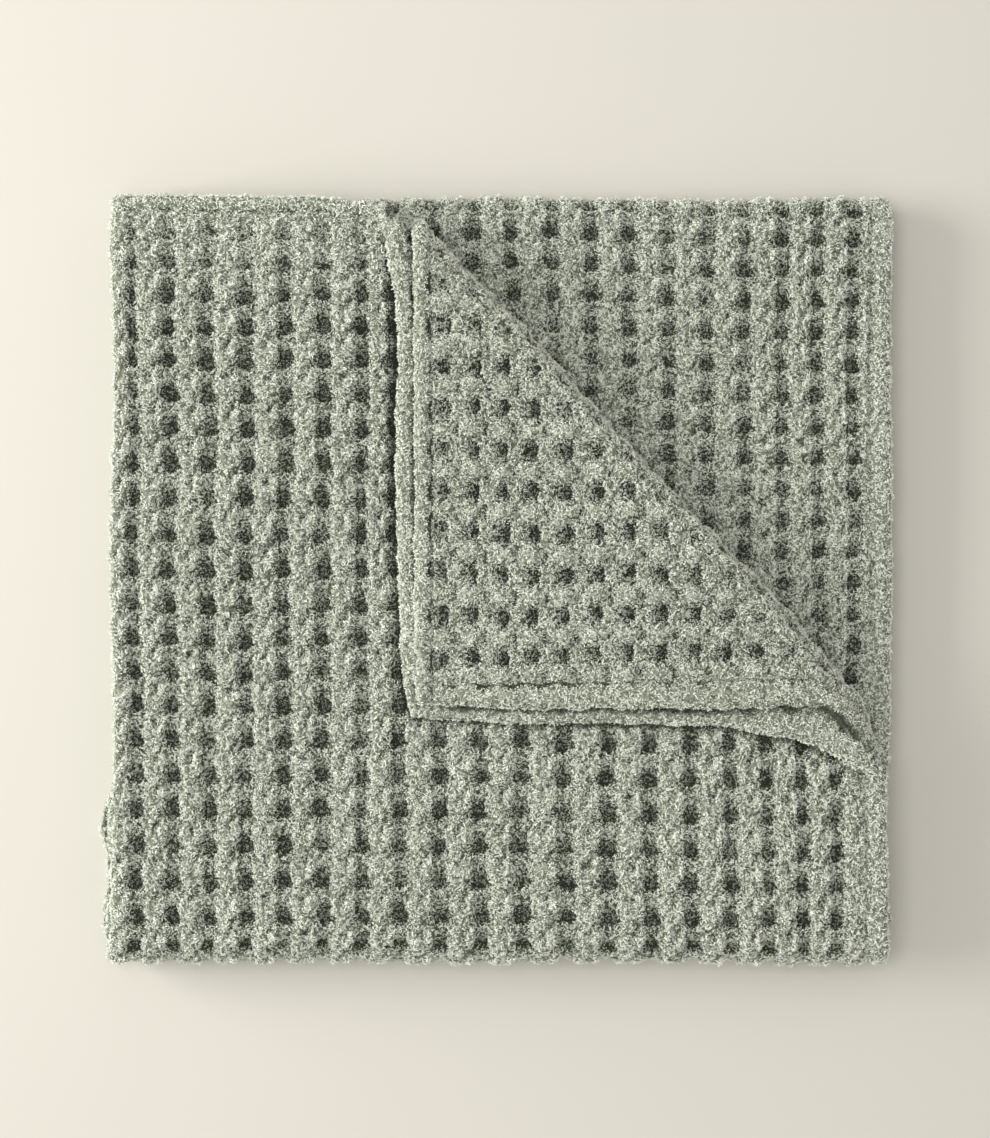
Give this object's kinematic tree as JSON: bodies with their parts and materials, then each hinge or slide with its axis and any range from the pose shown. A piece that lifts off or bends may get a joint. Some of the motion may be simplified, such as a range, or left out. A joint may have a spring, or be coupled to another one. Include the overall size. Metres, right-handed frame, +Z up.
{
  "type": "folded knit throw blanket",
  "caption": "Chunky waffle-knit throw blanket, folded to a near-square bundle with the corner of its top plies turned back over a diagonal.",
  "frame": {"origin": "middle of the bundle's box, on the surface that it rests on", "axes": "+Z up through the plies, +X from the side crease to the side hems, +Y from the front crease to the end hem"},
  "size_m": [0.6124, 0.6004, 0.0821],
  "materials": {
    "chenille_knit": "matt sage grey-green chenille yarn with short pile"
  },
  "bodies": {
    "root": {"throw_blanket": "chenille_knit"}
  },
  "joints": []
}
